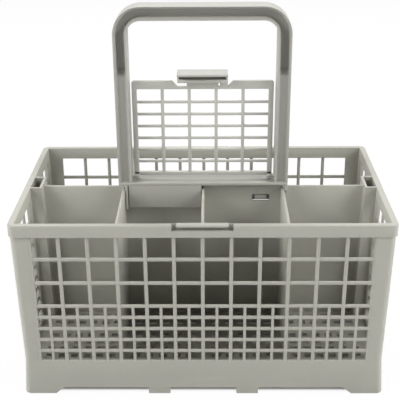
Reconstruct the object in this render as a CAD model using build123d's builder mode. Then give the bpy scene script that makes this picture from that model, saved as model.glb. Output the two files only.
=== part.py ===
from build123d import *
import os
from math import cos, radians, sin, tan

os.makedirs("parts", exist_ok=True)

# Dishwasher cutlery basket, millimetres. X runs along the basket, -Y is its front and Z is up.
# The origin is on the surface the feet stand on, under the middle of the basket.

# Basket shell
basket_length = 240.0
basket_width = 140.0
basket_height = 123.5
rim_height = 7.9
rim_wall = 4.2
rim_proud = 0.8
rim_edge_chamfer = 1.0
wall_corner_radius = 5.0
cavity_corner_radius = 3.0
wall_draft = 1.26
skirt_height = 24.5
skirt_flare = 3.3
skirt_wall = 2.4

# Gridded walls: large openings above, half-size openings below
corner_post = 13.25
end_post = 10.0
columns = 12
end_columns = 3
large_rows = 3
small_rows = 5
upright_width = 2.3
half_upright_width = 1.75
bar_height = 2.15
grid_wall = 1.6
grid_gap = 0.3
recess_margin = 0.25

# Feet and floor
foot_height = 4.3
corner_foot_length = 21.0
foot_slope_length = 5.0
middle_foot_length = 14.3
middle_foot_centre = 29.0
floor_drop = 2.0
floor_thickness = 2.0
floor_slots = 3
floor_slot_width = 8.0
floor_slot_margin = 5.0

# Inner walls and end pockets
inner_wall_drop = 2.5
centre_wall_thickness = 1.8
divider_thickness = 1.7
divider_columns = 3
pocket_length = 6.0
pocket_width = 17.0
pocket_wall = 1.5

# Catches for the lid on the front and back rims
catch_end_gap = 2.6
catch_height = 3.6
catch_back_wall = 1.0
lip_end_gap = 0.4
lip_height = 1.3
lip_rise = 0.7
lip_setback = 0.2
lip_chamfer = 0.5

# Handle: an arch of I section on a base plate
finger_gap = 33.6
handle_depth = 15.6
handle_bar = 8.8
handle_corner_radius = 18.0
flange = 1.5
web = 2.0
boxed_leg_height = 72.5
boxed_leg_recess = 1.0
leg_hollow_wall = 1.4
plate_thickness = 2.2
plate_rise = 2.8
keel_thickness = 3.0

# Snap aprons that grip the centre wall, and locating tabs beside the dividers
apron_drop = 16.0
apron_thickness = 1.8
apron_gap = 0.25
window_inset = 14.45
window_length = 11.7
window_height = 4.9
window_drop = 6.2
hook_clearance = 0.4
hook_height = 2.0
hook_reach = 1.2
tab_gap = 0.7
tab_width = 5.0
tab_drop = 5.8
tab_slope = 2.0

# Folding lid and its hinge
hinge_gap = 0.5
hinge_setback = 0.4
pin_radius = 1.22
pin_clearance = 0.08
pin_reach = 2.0
knuckle_radius = 1.9
lid_side_gap = 1.6
lid_thickness = 2.6
lid_lift = 0.2
lid_bottom_frame = 2.6
lid_side_frame = 3.25
lid_top_frame = 5.6
lid_columns = 5
lid_rows = 6
lid_top_row_height = 8.0
lid_upright_width = 1.95
lid_bar_height = 1.75
lid_corner_radius = 1.6
clip_notch_depth = 3.8
clip_notch_slope = 3.6

# Spring clip on the lid's upper edge
clip_length = 32.8
catch_clearance = 0.8
jaw_clearance = 0.4
neck_length = 20.6
gusset_length = 5.2
jaw_thickness = 2.3
jaw_rise = 3.2
mouth_height = 2.9
mouth_back_wall = 1.4
mouth_cheek = 2.2
pad_overhang = 4.3
pad_thickness = 2.4
pad_fall = 1.1

# Heights and walls that follow
rim_bottom = basket_height - rim_height
grid_top = rim_bottom - grid_gap
grid_bottom = skirt_height + grid_gap
grid_height = grid_top - grid_bottom
grid_middle = (grid_top + grid_bottom) / 2
floor_top = skirt_height - floor_drop
floor_bottom = floor_top - floor_thickness
inner_wall_top = basket_height - inner_wall_drop
wall_half_length = basket_length / 2 - rim_proud
wall_half_width = basket_width / 2 - rim_proud
wall_lean = tan(radians(wall_draft))
band_lean = wall_lean * (rim_bottom - skirt_height)
skirt_lean = tan(radians(skirt_flare)) * skirt_height
skirt_half_length = wall_half_length - band_lean + skirt_lean
skirt_half_width = wall_half_width - band_lean + skirt_lean
rim_corner_radius = wall_corner_radius + rim_proud
end_wall_inner = basket_length / 2 - rim_wall
pocket_inner_wall = end_wall_inner - pocket_length
pocket_outer_width = pocket_width + 2 * pocket_wall

# Grid pitches that follow
grid_length = 2 * (wall_half_length - corner_post)
column_pitch = (grid_length + upright_width) / columns
row_pitch = (grid_height + bar_height) / (large_rows + small_rows / 2)
end_grid_start = pocket_outer_width / 2 + upright_width
end_grid_length = wall_half_width - end_post - end_grid_start
end_grid_centre = end_grid_start + end_grid_length / 2
end_column_pitch = (end_grid_length + upright_width) / end_columns
divider_offset = divider_columns * column_pitch

# Handle, hinge and lid sizes that follow
plate_bottom = inner_wall_top + plate_rise
plate_top = plate_bottom + plate_thickness
handle_half = divider_offset + divider_thickness / 2 + tab_gap + flange
leg_inner = handle_half - handle_bar
hinge_height = plate_top + hinge_gap + knuckle_radius
jaw_reach = hinge_height - (basket_height + lip_rise) - jaw_clearance
pad_reach = jaw_reach + pad_overhang
pad_bottom = hinge_height + basket_width / 2 - lip_setback + catch_clearance
pad_top = pad_bottom + pad_thickness
jaw_top = pad_bottom - mouth_height
jaw_bottom = jaw_top - jaw_thickness
notch_floor = jaw_bottom - jaw_rise
lid_shoulder = notch_floor + clip_notch_depth
grip_bottom = pad_top + finger_gap
handle_height = grip_bottom + handle_bar
boxed_leg_top = plate_top + boxed_leg_height
window_centre = divider_offset - window_inset
window_top = inner_wall_top - window_drop
lid_half = leg_inner - lid_side_gap
lid_front = -hinge_setback
lid_back = lid_front + lid_thickness
lid_bottom = hinge_height + lid_lift
lid_grid_bottom = lid_bottom + lid_bottom_frame
lid_grid_top = lid_shoulder - lid_top_frame
lid_lower_rows = lid_grid_top - lid_top_row_height - lid_grid_bottom
lid_row_pitch = lid_lower_rows / lid_rows
lid_column_pitch = (2 * (lid_half - lid_side_frame) + lid_upright_width) / lid_columns
lid_opening_width = lid_column_pitch - lid_upright_width


def wall_plane(along, out, half_size):
    """Plane on a leaning wall's outer face, centred on its grid, facing out of the basket."""
    reach = half_size - wall_lean * (rim_bottom - grid_middle)
    lean = radians(wall_draft)
    origin = Vector(out[0] * reach, out[1] * reach, grid_middle)
    normal = Vector(out[0] * cos(lean), out[1] * cos(lean), -sin(lean))
    return Plane(origin=origin, x_dir=Vector(*along), z_dir=normal)


def grid_openings(pitch, count, halved):
    """Rectangles of one grid in the current sketch: large rows above and half-size rows below,
    where halved puts an extra upright in the middle of each column of the lower rows."""
    large_height = row_pitch - bar_height
    small_height = row_pitch / 2 - bar_height
    large_middle = grid_height / 2 - (large_rows * row_pitch - bar_height) / 2
    small_middle = -grid_height / 2 + (small_rows * row_pitch / 2 - bar_height) / 2
    large_width = pitch - upright_width
    half_width = (large_width - half_upright_width) / 2
    with Locations((0, large_middle)):
        with GridLocations(pitch, row_pitch, count, large_rows):
            Rectangle(large_width, large_height)
    with Locations((0, small_middle)):
        with GridLocations(pitch, row_pitch / 2, count, small_rows):
            if halved:
                with GridLocations(half_width + half_upright_width, 1, 2, 1):
                    Rectangle(half_width, small_height)
            else:
                Rectangle(large_width, small_height)


def leaning_plate(start, end, side, top):
    """Upright outline from the floor's underside to a height, its outer end leaning with the
    walls, in a sketch whose x axis points outwards. start and end are its limits at the top."""
    lean = wall_lean * (top - floor_bottom)
    Polygon(
        (side * (start - lean if start else 0), floor_bottom),
        (side * (end - lean), floor_bottom),
        (side * end, top),
        (side * start, top),
        align=None,
    )


def shell_outline(rim_reach):
    """Outer outline of the basket across one direction, in an upright sketch."""
    wall_reach = rim_reach - rim_proud
    band_reach = wall_reach - band_lean
    half = [
        (band_reach + skirt_lean, 0),
        (band_reach, skirt_height),
        (wall_reach, rim_bottom),
        (rim_reach, rim_bottom),
        (rim_reach, basket_height),
    ]
    Polygon(*half, *[(-x, z) for x, z in reversed(half)], align=None)


def hollow_outline(rim_reach):
    """Inner outlines across one direction: the cavity above the floor and the skirt below it."""
    top_reach = rim_reach - rim_wall
    floor_reach = top_reach - wall_lean * (basket_height - floor_top)
    skirt_reach = rim_reach - rim_proud - band_lean + skirt_lean - skirt_wall
    under_floor_reach = skirt_reach - tan(radians(skirt_flare)) * floor_bottom
    Polygon(
        (-floor_reach, floor_top),
        (floor_reach, floor_top),
        (top_reach, basket_height),
        (-top_reach, basket_height),
        align=None,
    )
    Polygon(
        (-skirt_reach, 0),
        (skirt_reach, 0),
        (under_floor_reach, floor_bottom),
        (-under_floor_reach, floor_bottom),
        align=None,
    )


def corner_edges(builder):
    """Upright edges of a part, vertical or leaning."""
    level = builder.edges().filter_by(lambda edge: abs(edge.tangent_at(0).Z) < cos(radians(45)))
    return builder.edges() - level


def notch_outline(corner_reach):
    """Gap between a corner foot's sloped end and the middle of a skirt side, in a sketch."""
    foot_end = corner_reach - corner_foot_length
    Polygon(
        (-foot_end, 0),
        (-foot_end + foot_slope_length, foot_height),
        (foot_end - foot_slope_length, foot_height),
        (foot_end, 0),
        align=None,
    )


front_face = wall_plane((1, 0, 0), (0, -1), wall_half_width)
back_face = wall_plane((-1, 0, 0), (0, 1), wall_half_width)
left_face = wall_plane((0, -1, 0), (-1, 0), wall_half_length)
right_face = wall_plane((0, 1, 0), (1, 0), wall_half_length)

with BuildPart() as hollow:
    # Inside of the walls and of the skirt, taken out of the basket below
    with BuildSketch(Plane.XZ):
        hollow_outline(basket_length / 2)
    extrude(amount=basket_width, both=True)
    with BuildSketch(Plane.YZ):
        hollow_outline(basket_width / 2)
    extrude(amount=basket_length, both=True, mode=Mode.INTERSECT)
    fillet(corner_edges(hollow), cavity_corner_radius)

with BuildPart() as basket:
    # Outer form: two crossed profiles with a leaning wall, a flared skirt and a proud rim
    with BuildSketch(Plane.XZ):
        shell_outline(basket_length / 2)
    extrude(amount=basket_width, both=True)
    with BuildSketch(Plane.YZ):
        shell_outline(basket_width / 2)
    extrude(amount=basket_length, both=True, mode=Mode.INTERSECT)
    corners = corner_edges(basket)
    fillet(corners.filter_by_position(Axis.Z, 0, rim_bottom), wall_corner_radius)
    fillet(corners.filter_by_position(Axis.Z, rim_bottom, basket_height), rim_corner_radius)
    chamfer(basket.faces().sort_by(Axis.Z)[-1].edges(), rim_edge_chamfer)

    # Cavity above the floor and the hollow skirt under it
    add(hollow.part, mode=Mode.SUBTRACT)

    # Feet: gaps in the skirt, with two middle feet left on each long side
    with BuildSketch(Plane.XZ):
        notch_outline(skirt_half_length)
        with Locations((-middle_foot_centre, 0), (middle_foot_centre, 0)):
            Rectangle(middle_foot_length, 2 * foot_height, mode=Mode.SUBTRACT)
    extrude(amount=basket_width, both=True, mode=Mode.SUBTRACT)
    with BuildSketch(Plane.YZ):
        notch_outline(skirt_half_width)
    extrude(amount=basket_length, both=True, mode=Mode.SUBTRACT)

    # Thinner panels inside the walls, where the grids are cut at the end
    for face in (front_face, back_face):
        with BuildSketch(face.offset(-grid_wall)):
            Rectangle(grid_length + 2 * recess_margin, grid_height + 2 * recess_margin)
    for face in (left_face, right_face):
        with BuildSketch(face.offset(-grid_wall)):
            with GridLocations(2 * end_grid_centre, 1, 2, 1):
                Rectangle(end_grid_length + 2 * recess_margin, grid_height + 2 * recess_margin)
    extrude(amount=-rim_wall, mode=Mode.SUBTRACT)

    # Floor slots, in rows between the inner walls
    slot_row = (wall_half_width - band_lean - rim_wall) / floor_slots
    front_bay = divider_offset - divider_thickness - 2 * floor_slot_margin
    back_bay = 2 * divider_offset - divider_thickness - 2 * floor_slot_margin
    end_bay = pocket_inner_wall - divider_offset - 2 * floor_slot_margin
    end_bay_centre = (pocket_inner_wall + divider_offset) / 2
    with BuildSketch(Plane.XY.offset(floor_top)):
        with GridLocations(2 * end_bay_centre, slot_row, 2, 2 * floor_slots):
            Rectangle(end_bay, floor_slot_width)
        with Locations((0, -slot_row * floor_slots / 2)):
            with GridLocations(divider_offset, slot_row, 2, floor_slots):
                Rectangle(front_bay, floor_slot_width)
        with Locations((0, slot_row * floor_slots / 2)):
            with GridLocations(divider_offset, slot_row, 1, floor_slots):
                Rectangle(back_bay, floor_slot_width)
    extrude(amount=-floor_thickness, mode=Mode.SUBTRACT)

    # Centre wall, front dividers and back dividers, the dividers ending inside the long walls
    with BuildSketch(Plane.XY.offset(floor_bottom)):
        Rectangle(2 * pocket_inner_wall, centre_wall_thickness)
    extrude(amount=inner_wall_top - floor_bottom)
    divider_reach = wall_half_width - grid_wall / 2 + wall_lean * (inner_wall_top - rim_bottom)
    for offset in (-divider_offset, 0, divider_offset):
        with BuildSketch(Plane.YZ.offset(offset)):
            leaning_plate(0, divider_reach, -1, inner_wall_top)
        extrude(amount=divider_thickness / 2, both=True)
    for offset in (-divider_offset, divider_offset):
        with BuildSketch(Plane.YZ.offset(offset)):
            leaning_plate(0, divider_reach, 1, inner_wall_top)
        extrude(amount=divider_thickness / 2, both=True)

    # End pockets, flush with the rim
    for side in (-1, 1):
        with BuildSketch(Plane.XZ):
            leaning_plate(
                pocket_inner_wall - pocket_wall, end_wall_inner + rim_proud, side, basket_height
            )
        extrude(amount=pocket_outer_width / 2, both=True)
        with BuildSketch(Plane.XY.offset(basket_height)):
            with Locations((side * (pocket_inner_wall + pocket_length / 2), 0)):
                Rectangle(pocket_length, pocket_width)
        extrude(amount=-(basket_height - floor_top), mode=Mode.SUBTRACT)

    # Windows in the centre wall for the handle's hooks
    with BuildSketch(Plane.XZ):
        with Locations((0, window_top - window_height / 2)):
            with GridLocations(2 * window_centre, 1, 2, 1):
                Rectangle(window_length, window_height)
    extrude(amount=centre_wall_thickness, both=True, mode=Mode.SUBTRACT)

    # Catches: a pocket in each long rim with a lip across its mouth
    catch_length = clip_length + 2 * catch_end_gap
    catch_depth = rim_wall - catch_back_wall
    lip_length = clip_length - 2 * lip_end_gap
    lip_depth = rim_wall - lip_setback
    for side in (-1, 1):
        rim_face = side * basket_width / 2
        with BuildSketch(Plane.XY.offset(basket_height)):
            with Locations((0, rim_face - side * catch_depth / 2)):
                Rectangle(catch_length, catch_depth)
        extrude(amount=-catch_height, mode=Mode.SUBTRACT)
        with BuildSketch(Plane.XY.offset(basket_height - lip_height)):
            with Locations((0, rim_face - side * (lip_setback + lip_depth / 2))):
                Rectangle(lip_length, lip_depth)
        extrude(amount=lip_height + lip_rise)
        outer_lip = basket.edges().filter_by(Axis.X).group_by(Axis.Z)[-1]
        chamfer(outer_lip.sort_by(Axis.Y)[0 if side < 0 else -1], lip_chamfer)

    # Grids: cutters through the panels of all four walls, stopping short of the inner walls
    with BuildSketch(front_face.offset(rim_proud)):
        grid_openings(column_pitch, columns, halved=True)
    with BuildSketch(back_face.offset(rim_proud)):
        grid_openings(column_pitch, columns, halved=False)
    for face in (left_face, right_face):
        with BuildSketch(face.offset(rim_proud)):
            with GridLocations(2 * end_grid_centre, 1, 2, 1):
                grid_openings(end_column_pitch, end_columns, halved=False)
    extrude(amount=-(rim_proud + grid_wall + grid_gap), clean=False, mode=Mode.SUBTRACT)

basket.part.label = "basket"
export_step(basket.part, "parts/basket.step")


def arch_outline(inset, mode=Mode.ADD):
    """The arch's outer contour, moved inwards by an inset, from the base plate up, in a sketch."""
    length = 2 * (handle_half - inset)
    height = handle_height - inset - plate_bottom
    with Locations((0, plate_bottom)):
        RectangleRounded(
            length,
            height,
            handle_corner_radius - inset,
            align=(Align.CENTER, Align.MIN),
            mode=mode,
        )
        Rectangle(length, height / 2, align=(Align.CENTER, Align.MIN), mode=mode)


def arch_band(outer_inset, inner_inset):
    """Band of the arch between two insets from its outer contour, in a sketch."""
    arch_outline(outer_inset)
    arch_outline(inner_inset, mode=Mode.SUBTRACT)


with BuildPart() as handle:
    # Arch of I section: web, outer flange and inner flange
    with BuildSketch(Plane.XZ):
        arch_band(0, handle_bar)
    extrude(amount=web / 2, both=True)
    with BuildSketch(Plane.XZ):
        arch_band(0, flange)
    extrude(amount=handle_depth / 2, both=True)
    with BuildSketch(Plane.XZ):
        arch_band(handle_bar - flange, handle_bar)
    extrude(amount=handle_depth / 2, both=True)

    # Lower legs boxed in
    leg_centre = (handle_half + leg_inner) / 2
    boxed_depth = handle_depth - 2 * boxed_leg_recess
    with BuildSketch(Plane.XY.offset(plate_bottom)):
        with GridLocations(2 * leg_centre, 1, 2, 1):
            Rectangle(handle_bar - flange, boxed_depth)
    extrude(amount=boxed_leg_top - plate_bottom)

    # Base plate with a keel that sits on the centre wall
    with BuildSketch(Plane.XY.offset(plate_bottom)):
        Rectangle(2 * handle_half, handle_depth)
    extrude(amount=plate_thickness)
    with BuildSketch(Plane.XY.offset(inner_wall_top)):
        Rectangle(2 * (divider_offset - divider_thickness), keel_thickness)
    extrude(amount=plate_rise)

    # Legs hollow from below, on both sides of the web
    hollow_length = handle_bar - 2 * flange - 2 * leg_hollow_wall
    hollow_width = (boxed_depth - web) / 2 - leg_hollow_wall
    with BuildSketch(Plane.XY.offset(plate_bottom)):
        with GridLocations(2 * leg_centre, web + hollow_width, 2, 2):
            Rectangle(hollow_length, hollow_width)
    extrude(amount=boxed_leg_top - flange - plate_bottom, mode=Mode.SUBTRACT)

    # Snap aprons, front left and back right, with hooks through the windows
    apron_start = divider_thickness / 2 + apron_gap
    apron_end = divider_offset - divider_thickness - apron_gap
    apron_middle = (apron_start + apron_end) / 2
    apron_face = handle_depth / 2
    hook_length = window_length - 2 * hook_clearance
    hook_span = apron_face + hook_reach
    for side in (-1, 1):
        with BuildSketch(Plane.XY.offset(plate_bottom)):
            with Locations((side * apron_middle, side * (apron_face - apron_thickness / 2))):
                Rectangle(apron_end - apron_start, apron_thickness)
        extrude(amount=-apron_drop)
        with BuildSketch(Plane.XY.offset(window_top - hook_clearance)):
            with Locations((side * window_centre, side * (apron_face - hook_span / 2))):
                Rectangle(hook_length, hook_span)
        extrude(amount=-hook_height)

    # Locating tabs under the other two outer flanges
    tab_bottom = plate_bottom - tab_drop
    for side in (-1, 1):
        with BuildSketch(Plane.YZ.offset(-side * (handle_half - flange / 2))):
            with BuildLine():
                Polyline(
                    (side * apron_face, plate_bottom),
                    (side * apron_face, tab_bottom + tab_slope),
                    (side * (apron_face - tab_slope), tab_bottom),
                    (side * (apron_face - tab_width), plate_bottom),
                    close=True,
                )
            make_face()
        extrude(amount=flange / 2, both=True)

    # Blind holes for the lid's pins, in the legs' inner faces
    for side in (-1, 1):
        with BuildSketch(Plane.YZ.offset(side * leg_inner)):
            with Locations((0, hinge_height)):
                Circle(pin_radius + pin_clearance)
        extrude(amount=side * (pin_reach + pin_clearance), mode=Mode.SUBTRACT)

handle.part.label = "handle"
export_step(handle.part, "parts/handle.step")

with BuildPart() as lid:
    # Framed panel with a notched upper edge, lower rows alike and a taller top row
    notch_half = clip_length / 2
    lid_plane = Plane.XZ.offset(-lid_front)
    with BuildSketch(lid_plane):
        with BuildLine():
            Polyline(
                (-lid_half, lid_bottom),
                (-lid_half, lid_shoulder),
                (-notch_half - clip_notch_slope, lid_shoulder),
                (-notch_half, notch_floor),
                (notch_half, notch_floor),
                (notch_half + clip_notch_slope, lid_shoulder),
                (lid_half, lid_shoulder),
                (lid_half, lid_bottom),
                close=True,
            )
        make_face()
        with Locations((0, lid_grid_bottom + (lid_lower_rows - lid_bar_height) / 2)):
            with GridLocations(lid_column_pitch, lid_row_pitch, lid_columns, lid_rows):
                Rectangle(lid_opening_width, lid_row_pitch - lid_bar_height, mode=Mode.SUBTRACT)
        with Locations((0, lid_grid_top - lid_top_row_height / 2)):
            with GridLocations(lid_column_pitch, 1, lid_columns, 1):
                Rectangle(lid_opening_width, lid_top_row_height, mode=Mode.SUBTRACT)
    extrude(amount=-lid_thickness)
    upright_edges = lid.edges().filter_by(Axis.Y)
    fillet(upright_edges.group_by(Axis.X)[0].sort_by(Axis.Z)[-1], lid_corner_radius)
    fillet(upright_edges.group_by(Axis.X)[-1].sort_by(Axis.Z)[-1], lid_corner_radius)

    # Hinge knuckles at the lower corners and their pins
    for side in (-1, 1):
        with BuildSketch(Plane.YZ.offset(side * lid_half)):
            with Locations((0, hinge_height)):
                Circle(knuckle_radius)
        extrude(amount=-side * lid_side_frame)
        with BuildSketch(Plane.YZ.offset(side * lid_half)):
            with Locations((0, hinge_height)):
                Circle(pin_radius)
        extrude(amount=side * (lid_side_gap + pin_reach))

    # Clip: neck, gusset, lower jaw and a pad that overhangs the mouth
    with BuildSketch(lid_plane):
        with Locations((0, notch_floor)):
            Rectangle(neck_length, jaw_rise, align=(Align.CENTER, Align.MIN))
        with Locations((clip_length / 2, notch_floor)):
            Rectangle(gusset_length, jaw_rise, align=(Align.MAX, Align.MIN))
    extrude(amount=-lid_thickness)
    with BuildSketch(Plane.YZ):
        with BuildLine():
            Polyline(
                (lid_back, pad_top),
                (lid_back, jaw_bottom),
                (-jaw_reach, jaw_bottom),
                (-jaw_reach, pad_bottom),
                (-pad_reach, pad_bottom),
                (-pad_reach, pad_top - pad_fall),
            )
            TangentArc(
                (lid_back, pad_top),
                (-pad_reach, pad_top - pad_fall),
                tangent=(-1, 0),
            )
        make_face()
    extrude(amount=clip_length / 2, both=True)
    mouth_depth = jaw_reach + lid_back - mouth_back_wall
    with BuildSketch(Plane.XZ.offset(jaw_reach)):
        with Locations((0, jaw_top)):
            Rectangle(
                clip_length - 2 * mouth_cheek, mouth_height, align=(Align.CENTER, Align.MIN)
            )
    extrude(amount=-mouth_depth, mode=Mode.SUBTRACT)

lid.part.label = "lid"
export_step(lid.part, "parts/lid.step")
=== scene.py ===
"""Looks of a dishwasher cutlery basket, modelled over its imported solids."""

import logging
import math
from collections.abc import Callable, Iterator, Sequence
from contextlib import contextmanager
from dataclasses import dataclass
from enum import Enum

import bmesh
import bpy
from mathutils import Matrix, Vector


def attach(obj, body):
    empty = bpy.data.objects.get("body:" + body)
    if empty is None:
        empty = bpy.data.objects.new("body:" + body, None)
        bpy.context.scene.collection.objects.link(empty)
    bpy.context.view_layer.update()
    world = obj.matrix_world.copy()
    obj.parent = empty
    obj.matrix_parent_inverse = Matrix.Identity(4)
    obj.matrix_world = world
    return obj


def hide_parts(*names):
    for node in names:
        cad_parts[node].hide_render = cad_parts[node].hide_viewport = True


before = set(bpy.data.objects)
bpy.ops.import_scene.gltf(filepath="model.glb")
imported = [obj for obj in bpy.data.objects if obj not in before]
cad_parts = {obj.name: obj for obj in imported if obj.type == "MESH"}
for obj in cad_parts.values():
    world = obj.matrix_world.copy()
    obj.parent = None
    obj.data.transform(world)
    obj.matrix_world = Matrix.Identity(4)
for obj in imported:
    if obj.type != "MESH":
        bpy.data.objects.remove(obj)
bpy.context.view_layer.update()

log = logging.getLogger("cutlery_basket")

MM = 0.001
AIM = (0.0, 0.0, 0.1)
WHITE = (1.0, 1.0, 1.0, 1.0)

# Parts of a unit vector that count as along an axis, square to it and across it
ALONG = 0.9
SQUARE = 0.99
ACROSS = 0.1

# Millimetres within which two places count as one, as near and as close
TOUCH = 0.01
NEAR = 0.1
CLOSE = 1.0

# Degrees from which an edge is rounded, and from which it stays sharp to the eye
SHARP_ANGLE = 35.0
CREASE_ANGLE = 40.0
BAR_CREASE_ANGLE = 50.0

Point = tuple[float, float, float]
Span = tuple[float, float]
Colour = tuple[float, float, float]


class Body(Enum):
    """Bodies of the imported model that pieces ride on."""

    BASKET = "basket_body"
    LID = "lid_body"


class Slot(Enum):
    """Material slots of the record."""

    BASKET = "basket_plastic"
    HANDLE = "handle_plastic"
    LID = "lid_plastic"


class Side(Enum):
    """The four walls, each with the turn about Z that brings the front wall there."""

    FRONT = 0.0
    RIGHT = 90.0
    BACK = 180.0
    LEFT = 270.0


class Axis(Enum):
    """What a bar lies along, as its place in a vector."""

    X = 0
    Z = 2


def both(half: float) -> Span:
    """The span from minus to plus a half size."""
    return -half, half


def around(middle: float, width: float) -> Span:
    """The span of a width about its middle."""
    return middle - width / 2, middle + width / 2


def span(side: int, first: float, second: float) -> Span:
    """The span between two distances on one side, -1 or 1, of the middle."""
    low, high = sorted((side * first, side * second))
    return low, high


def smaller(half: Span, inward: float) -> Span:
    """Half sizes brought in by the same amount."""
    return half[0] - inward, half[1] - inward


class Bench:
    """Modelling steps, in millimetres, each on a piece that is selected alone."""

    ROD_STEPS = 28

    @staticmethod
    def take(piece: bpy.types.Object) -> None:
        """Selects one piece alone and makes it active.

        Args:
            piece: The piece to work on.
        """
        bpy.ops.object.select_all(action="DESELECT")
        piece.select_set(True)
        bpy.context.view_layer.objects.active = piece

    @staticmethod
    def settle(piece: bpy.types.Object) -> None:
        """Moves a piece's place, turn and scale into its mesh."""
        Bench.take(piece)
        bpy.ops.object.transform_apply(location=True, rotation=True, scale=True)

    @staticmethod
    def block(name: str, x: Span, y: Span, z: Span) -> bpy.types.Object:
        """Adds a cube at its size and place.

        Args:
            name: Name of the new object.
            x: Where it starts and ends in X.
            y: Where it starts and ends in Y.
            z: Where it starts and ends in Z.

        Returns:
            The new object, with its place in its mesh.
        """
        bpy.ops.object.select_all(action="DESELECT")
        low, high = (Vector(corner) for corner in zip(x, y, z))
        bpy.ops.mesh.primitive_cube_add(size=1, location=(low + high) * (MM / 2))
        piece = bpy.context.active_object
        piece.name = name
        piece.scale = (high - low) * MM
        Bench.settle(piece)
        return piece

    @staticmethod
    def rod(name: str, x: Span, centre: Span, radius: float) -> bpy.types.Object:
        """Adds a round rod along X.

        Args:
            name: Name of the new object.
            x: Where it starts and ends.
            centre: Y and Z of its axis.
            radius: Its radius.

        Returns:
            The new object, with its place in its mesh.
        """
        bpy.ops.object.select_all(action="DESELECT")
        start, end = x
        bpy.ops.mesh.primitive_cylinder_add(
            vertices=Bench.ROD_STEPS,
            radius=radius * MM,
            depth=(end - start) * MM,
            location=Vector(((start + end) / 2, *centre)) * MM,
            rotation=(0, math.pi / 2, 0),
        )
        piece = bpy.context.active_object
        piece.name = name
        Bench.settle(piece)
        return piece

    @staticmethod
    @contextmanager
    def editing(piece: bpy.types.Object) -> Iterator[None]:
        """Opens a piece in edit mode for the length of a with block.

        Args:
            piece: The piece to edit.
        """
        Bench.take(piece)
        bpy.ops.object.mode_set(mode="EDIT")
        yield
        bpy.ops.object.mode_set(mode="OBJECT")

    @staticmethod
    def pick_faces(piece: bpy.types.Object, test: Callable[[Vector, Vector], bool]) -> None:
        """Selects faces in edit mode.

        Args:
            piece: The piece in edit mode.
            test: Takes a face's centre and normal, and says whether it is picked.
        """
        bpy.ops.mesh.select_mode(type="FACE")
        bpy.ops.mesh.select_all(action="DESELECT")
        mesh = bmesh.from_edit_mesh(piece.data)
        mesh.normal_update()
        for face in mesh.faces:
            if test(face.calc_center_median() / MM, face.normal):
                face.select_set(True)
        bmesh.update_edit_mesh(piece.data)

    @staticmethod
    def pick_edges(piece: bpy.types.Object, test: Callable[[Vector, Vector], bool]) -> None:
        """Selects edges in edit mode.

        Args:
            piece: The piece in edit mode.
            test: Takes an edge's middle and direction, and says whether it is picked.
        """
        bpy.ops.mesh.select_mode(type="EDGE")
        bpy.ops.mesh.select_all(action="DESELECT")
        mesh = bmesh.from_edit_mesh(piece.data)
        for edge in mesh.edges:
            first, second = (vert.co for vert in edge.verts)
            if test((first + second) / (2 * MM), (second - first).normalized()):
                edge.select_set(True)
        bmesh.update_edit_mesh(piece.data)

    @staticmethod
    def pick_corners(piece: bpy.types.Object, test: Callable[[Vector], bool]) -> None:
        """Selects vertices in edit mode.

        Args:
            piece: The piece in edit mode.
            test: Takes a vertex's place, and says whether it is picked.
        """
        bpy.ops.mesh.select_mode(type="VERT")
        bpy.ops.mesh.select_all(action="DESELECT")
        mesh = bmesh.from_edit_mesh(piece.data)
        for corner in mesh.verts:
            if test(corner.co / MM):
                corner.select_set(True)
        bmesh.update_edit_mesh(piece.data)

    @staticmethod
    def move(offset: Point) -> None:
        """Moves what is selected in edit mode."""
        bpy.ops.transform.translate(value=Vector(offset) * MM)

    @staticmethod
    def extrude(offset: Point) -> None:
        """Extrudes the selected faces by an offset."""
        bpy.ops.mesh.extrude_region_move(TRANSFORM_OT_translate={"value": Vector(offset) * MM})

    @staticmethod
    def spread(before: Span, after: Span) -> None:
        """Resizes what is selected about the Z axis from one half size to another, in X and Y."""
        bpy.ops.transform.resize(value=(after[0] / before[0], after[1] / before[1], 1), center_override=(0, 0, 0))

    @staticmethod
    def inset(width: float) -> None:
        """Insets the selected faces as one region."""
        bpy.ops.mesh.inset(thickness=width * MM, use_even_offset=True, use_boundary=True)

    @staticmethod
    def round_edges(width: float, segments: int) -> None:
        """Rounds the selected edges in edit mode."""
        bpy.ops.mesh.bevel(offset=width * MM, segments=segments, affect="EDGES", clamp_overlap=False)

    @staticmethod
    def apply(piece: bpy.types.Object, kind: str, **settings: object) -> None:
        """Adds a modifier and applies it.

        Args:
            piece: The piece to change.
            kind: The modifier's type.
            settings: The modifier's settings.
        """
        Bench.take(piece)
        step = piece.modifiers.new(kind.lower(), kind)
        for key, value in settings.items():
            setattr(step, key, value)
        bpy.ops.object.modifier_apply(modifier=step.name)

    @staticmethod
    def soften(piece: bpy.types.Object, width: float, segments: int) -> None:
        """Rounds every sharp edge.

        Args:
            piece: The piece to round.
            width: Width of the rounding.
            segments: Steps across it.
        """
        Bench.apply(
            piece,
            "BEVEL",
            width=width * MM,
            segments=segments,
            limit_method="ANGLE",
            angle_limit=math.radians(SHARP_ANGLE),
            use_clamp_overlap=False,
        )

    @staticmethod
    def pick_sharp_edges(piece: bpy.types.Object, spare: Callable[[Vector], bool]) -> None:
        """Selects the sharp edges in edit mode, apart from some.

        Args:
            piece: The piece in edit mode.
            spare: Takes an edge's middle, and says whether it is left out.
        """
        bpy.ops.mesh.select_mode(type="EDGE")
        bpy.ops.mesh.select_all(action="DESELECT")
        bpy.ops.mesh.edges_select_sharp(sharpness=math.radians(SHARP_ANGLE))
        mesh = bmesh.from_edit_mesh(piece.data)
        for edge in mesh.edges:
            if edge.select and spare((edge.verts[0].co + edge.verts[1].co) / (2 * MM)):
                edge.select_set(False)
        bmesh.update_edit_mesh(piece.data)

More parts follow.
